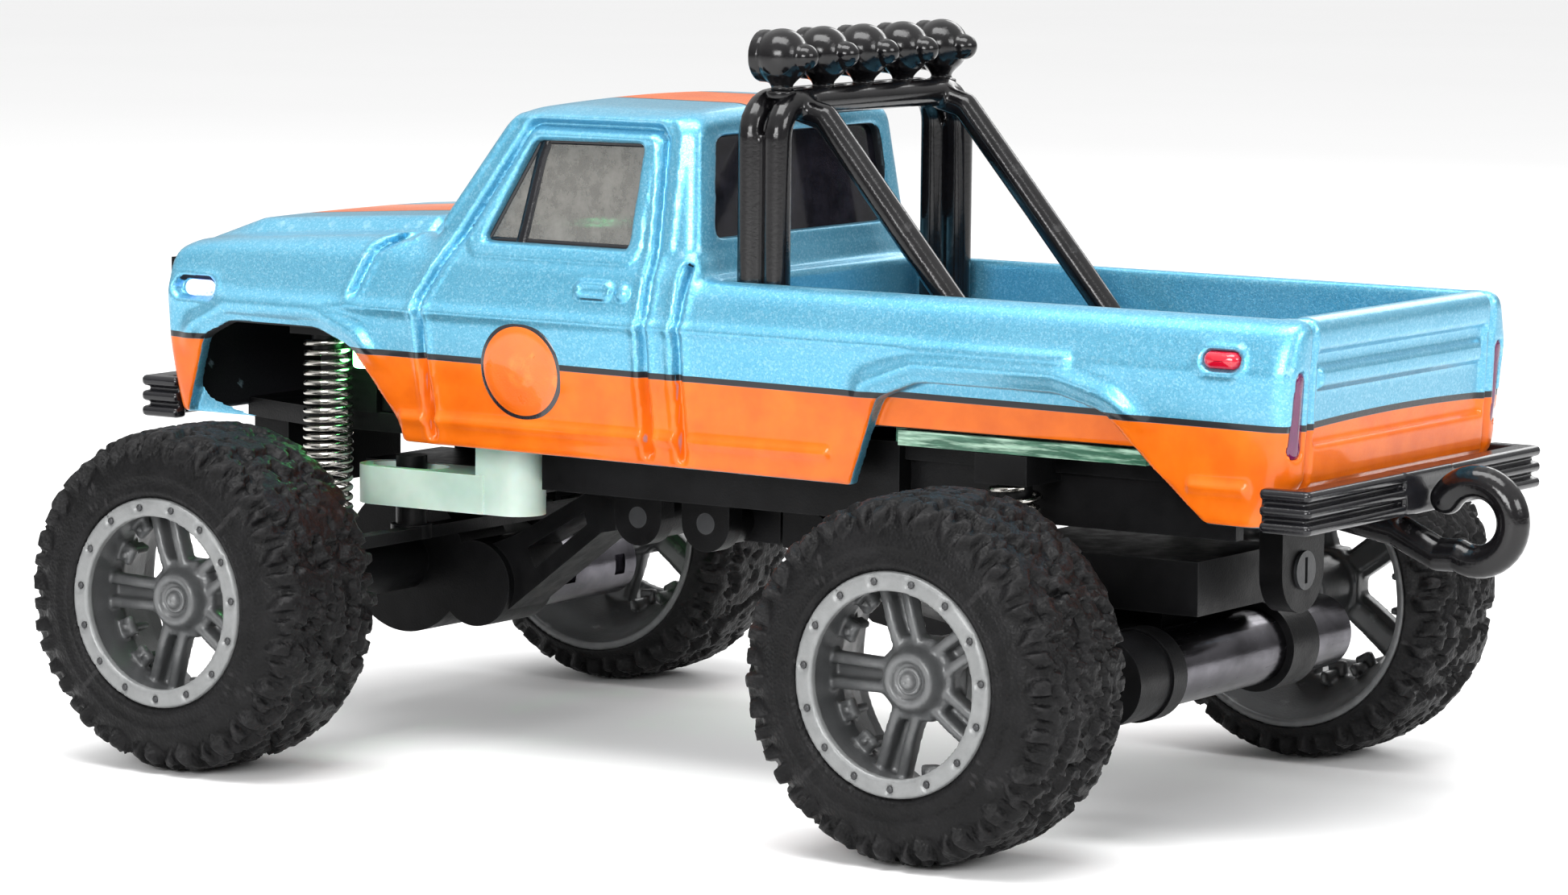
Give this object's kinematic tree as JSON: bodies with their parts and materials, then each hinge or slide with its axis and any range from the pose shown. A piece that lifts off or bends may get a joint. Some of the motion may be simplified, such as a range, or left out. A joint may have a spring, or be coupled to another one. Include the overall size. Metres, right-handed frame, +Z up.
{
  "type": "rc stunt car",
  "caption": "Palm-size remote-control pickup with a two-tone metal shell, roll bar with lamps, tow hook, sprung solid axles, steering and chunky tyres.",
  "frame": {"origin": "on the ground under the centre of the overall length and width", "axes": "+Z up, front of the truck towards -Y, the truck's left side at +X"},
  "size_m": [0.0506, 0.0838, 0.0417],
  "materials": {
    "shell_paint": "metallic paint, light blue over orange",
    "smoked_glass": "smoked clear plastic",
    "black_plastic": "moulded black plastic",
    "gloss_black": "gloss black plastic",
    "clear_lens": "clear plastic lens",
    "red_lens": "red plastic lens",
    "steel": "bright steel",
    "spring_steel": "bright spring wire",
    "battery_wrap": "foil wrap",
    "board": "green glass-fibre board",
    "white_nylon": "natural nylon",
    "motor_can": "plated motor can",
    "brass_gear": "brass",
    "wheel_grey": "satin grey plastic",
    "tyre_rubber": "soft black rubber"
  },
  "bodies": {
    "chassis": {"body_shell": "shell_paint", "window_insert": "smoked_glass", "grille_insert": "black_plastic", "front_lamp_lenses": "clear_lens", "rear_lamp_lenses": "red_lens", "roll_bar": "gloss_black", "lamp_pods": "gloss_black", "lamp_lenses": "clear_lens", "front_bumper": "black_plastic", "rear_bumper": "black_plastic", "tow_hook": "gloss_black", "chassis_frame": "black_plastic", "pivot_pins": "steel", "body_screws": "steel", "battery": "battery_wrap", "circuit_board": "board", "led_modules": "board", "servo_case": "black_plastic", "switch_housing": "steel", "charge_socket": "white_nylon", "front_spring_left": "spring_steel", "front_spring_right": "spring_steel", "rear_spring_left": "spring_steel", "rear_spring_right": "spring_steel"},
    "servo_horn": {"servo_horn": "white_nylon"},
    "switch_slider": {"switch_slider": "black_plastic"},
    "front_yoke": {"front_yoke": "black_plastic"},
    "rear_yoke": {"rear_yoke": "black_plastic"},
    "front_axle": {"front_axle_case": "black_plastic", "front_axle_tube": "black_plastic", "front_arm": "black_plastic", "front_motor": "motor_can", "kingpins": "steel"},
    "front_pinion": {"front_pinion": "brass_gear"},
    "front_drive_shaft": {"front_drive_shaft": "steel"},
    "knuckle_left": {"knuckle_left": "black_plastic"},
    "knuckle_right": {"knuckle_right": "black_plastic"},
    "tie_rod": {"tie_rod": "black_plastic"},
    "wheel_front_left": {"stub_left": "steel", "rim_front_left": "wheel_grey", "tyre_front_left": "tyre_rubber", "wheel_screw_front_left": "steel"},
    "wheel_front_right": {"stub_right": "steel", "rim_front_right": "wheel_grey", "tyre_front_right": "tyre_rubber", "wheel_screw_front_right": "steel"},
    "rear_axle": {"rear_axle_case": "black_plastic", "rear_axle_tube": "black_plastic", "rear_arm": "black_plastic", "rear_motor": "motor_can", "rear_motor_cap": "black_plastic", "rear_gearbox": "motor_can"},
    "rear_pinion": {"rear_pinion": "brass_gear"},
    "rear_wheels": {"rear_axle_shaft": "steel", "rim_rear_left": "wheel_grey", "tyre_rear_left": "tyre_rubber", "wheel_screw_rear_left": "steel", "rim_rear_right": "wheel_grey", "tyre_rear_right": "tyre_rubber", "wheel_screw_rear_right": "steel"}
  },
  "joints": [
    {"name": "front_heave", "type": "hinge", "parent": "chassis", "child": "front_yoke", "pos_m": [0, -0.0113, 0.0137], "axis": [1, 0, 0], "range_deg": [-2, 2.2], "stiffness_Nm_per_rad": 0.11, "springref_deg": 2.06, "deforming": ["front_spring_left", "front_spring_right"]},
    {"name": "front_roll", "type": "hinge", "parent": "front_yoke", "child": "front_axle", "pos_m": [0, -0.0133, 0.0137], "axis": [0, 1, 0], "range_deg": [-3, 3], "stiffness_Nm_per_rad": 0.03, "deforming": ["front_spring_left", "front_spring_right"]},
    {"name": "rear_heave", "type": "hinge", "parent": "chassis", "child": "rear_yoke", "pos_m": [0, -0.0067, 0.0137], "axis": [-1, 0, 0], "range_deg": [-2, 3], "stiffness_Nm_per_rad": 0.15, "springref_deg": 2.12, "deforming": ["rear_spring_left", "rear_spring_right"]},
    {"name": "rear_roll", "type": "hinge", "parent": "rear_yoke", "child": "rear_axle", "pos_m": [0, -0.0047, 0.0137], "axis": [0, 1, 0], "range_deg": [-3.5, 3.5], "stiffness_Nm_per_rad": 0.03, "deforming": ["rear_spring_left", "rear_spring_right"]},
    {"name": "steer_left", "type": "hinge", "parent": "front_axle", "child": "knuckle_left", "pos_m": [0.0132, -0.0293, 0.0096], "axis": [0, 0, 1], "range_deg": [-25, 25]},
    {"name": "steer_right", "type": "hinge", "parent": "front_axle", "child": "knuckle_right", "pos_m": [-0.0132, -0.0293, 0.0096], "axis": [0, 0, 1], "range_deg": [-25.1, 25.1]},
    {"name": "tie_rod_slide", "type": "slide", "parent": "front_axle", "child": "tie_rod", "axis": [1, 0, 0], "range_m": [-0.0017, 0.0017]},
    {"name": "horn_turn", "type": "hinge", "parent": "chassis", "child": "servo_horn", "pos_m": [0.0065, -0.0181, 0.018], "axis": [0, 0, 1], "range_deg": [-12.5, 12.5]},
    {"name": "wheel_front_left_spin", "type": "hinge", "parent": "knuckle_left", "child": "wheel_front_left", "pos_m": [0.019, -0.0293, 0.0096], "axis": [1, 0, 0], "continuous": true},
    {"name": "wheel_front_right_spin", "type": "hinge", "parent": "knuckle_right", "child": "wheel_front_right", "pos_m": [-0.019, -0.0293, 0.0096], "axis": [1, 0, 0], "continuous": true},
    {"name": "front_shaft_spin", "type": "hinge", "parent": "front_axle", "child": "front_drive_shaft", "pos_m": [0, -0.0293, 0.0096], "axis": [1, 0, 0], "continuous": true},
    {"name": "front_pinion_spin", "type": "hinge", "parent": "front_axle", "child": "front_pinion", "pos_m": [0, -0.0243, 0.0086], "axis": [1, 0, 0], "continuous": true},
    {"name": "rear_wheels_spin", "type": "hinge", "parent": "rear_axle", "child": "rear_wheels", "pos_m": [0, 0.0187, 0.0096], "axis": [1, 0, 0], "continuous": true},
    {"name": "rear_pinion_spin", "type": "hinge", "parent": "rear_axle", "child": "rear_pinion", "pos_m": [-0.005, 0.0237, 0.0086], "axis": [1, 0, 0], "continuous": true},
    {"name": "switch_slide", "type": "slide", "parent": "chassis", "child": "switch_slider", "axis": [0, 1, 0], "range_m": [0, 0.001]}
  ],
  "couplings": [
    {"joint": "steer_right", "follows": "steer_left", "ratio": 1},
    {"joint": "tie_rod_slide", "follows": "steer_left", "m_per_rad": -0.00362},
    {"joint": "horn_turn", "follows": "steer_left", "ratio": -0.4756},
    {"joint": "wheel_front_right_spin", "follows": "wheel_front_left_spin", "ratio": 1},
    {"joint": "front_shaft_spin", "follows": "wheel_front_left_spin", "ratio": 1},
    {"joint": "front_pinion_spin", "follows": "wheel_front_left_spin", "ratio": -2.0909},
    {"joint": "rear_pinion_spin", "follows": "rear_wheels_spin", "ratio": -2.0909}
  ]
}
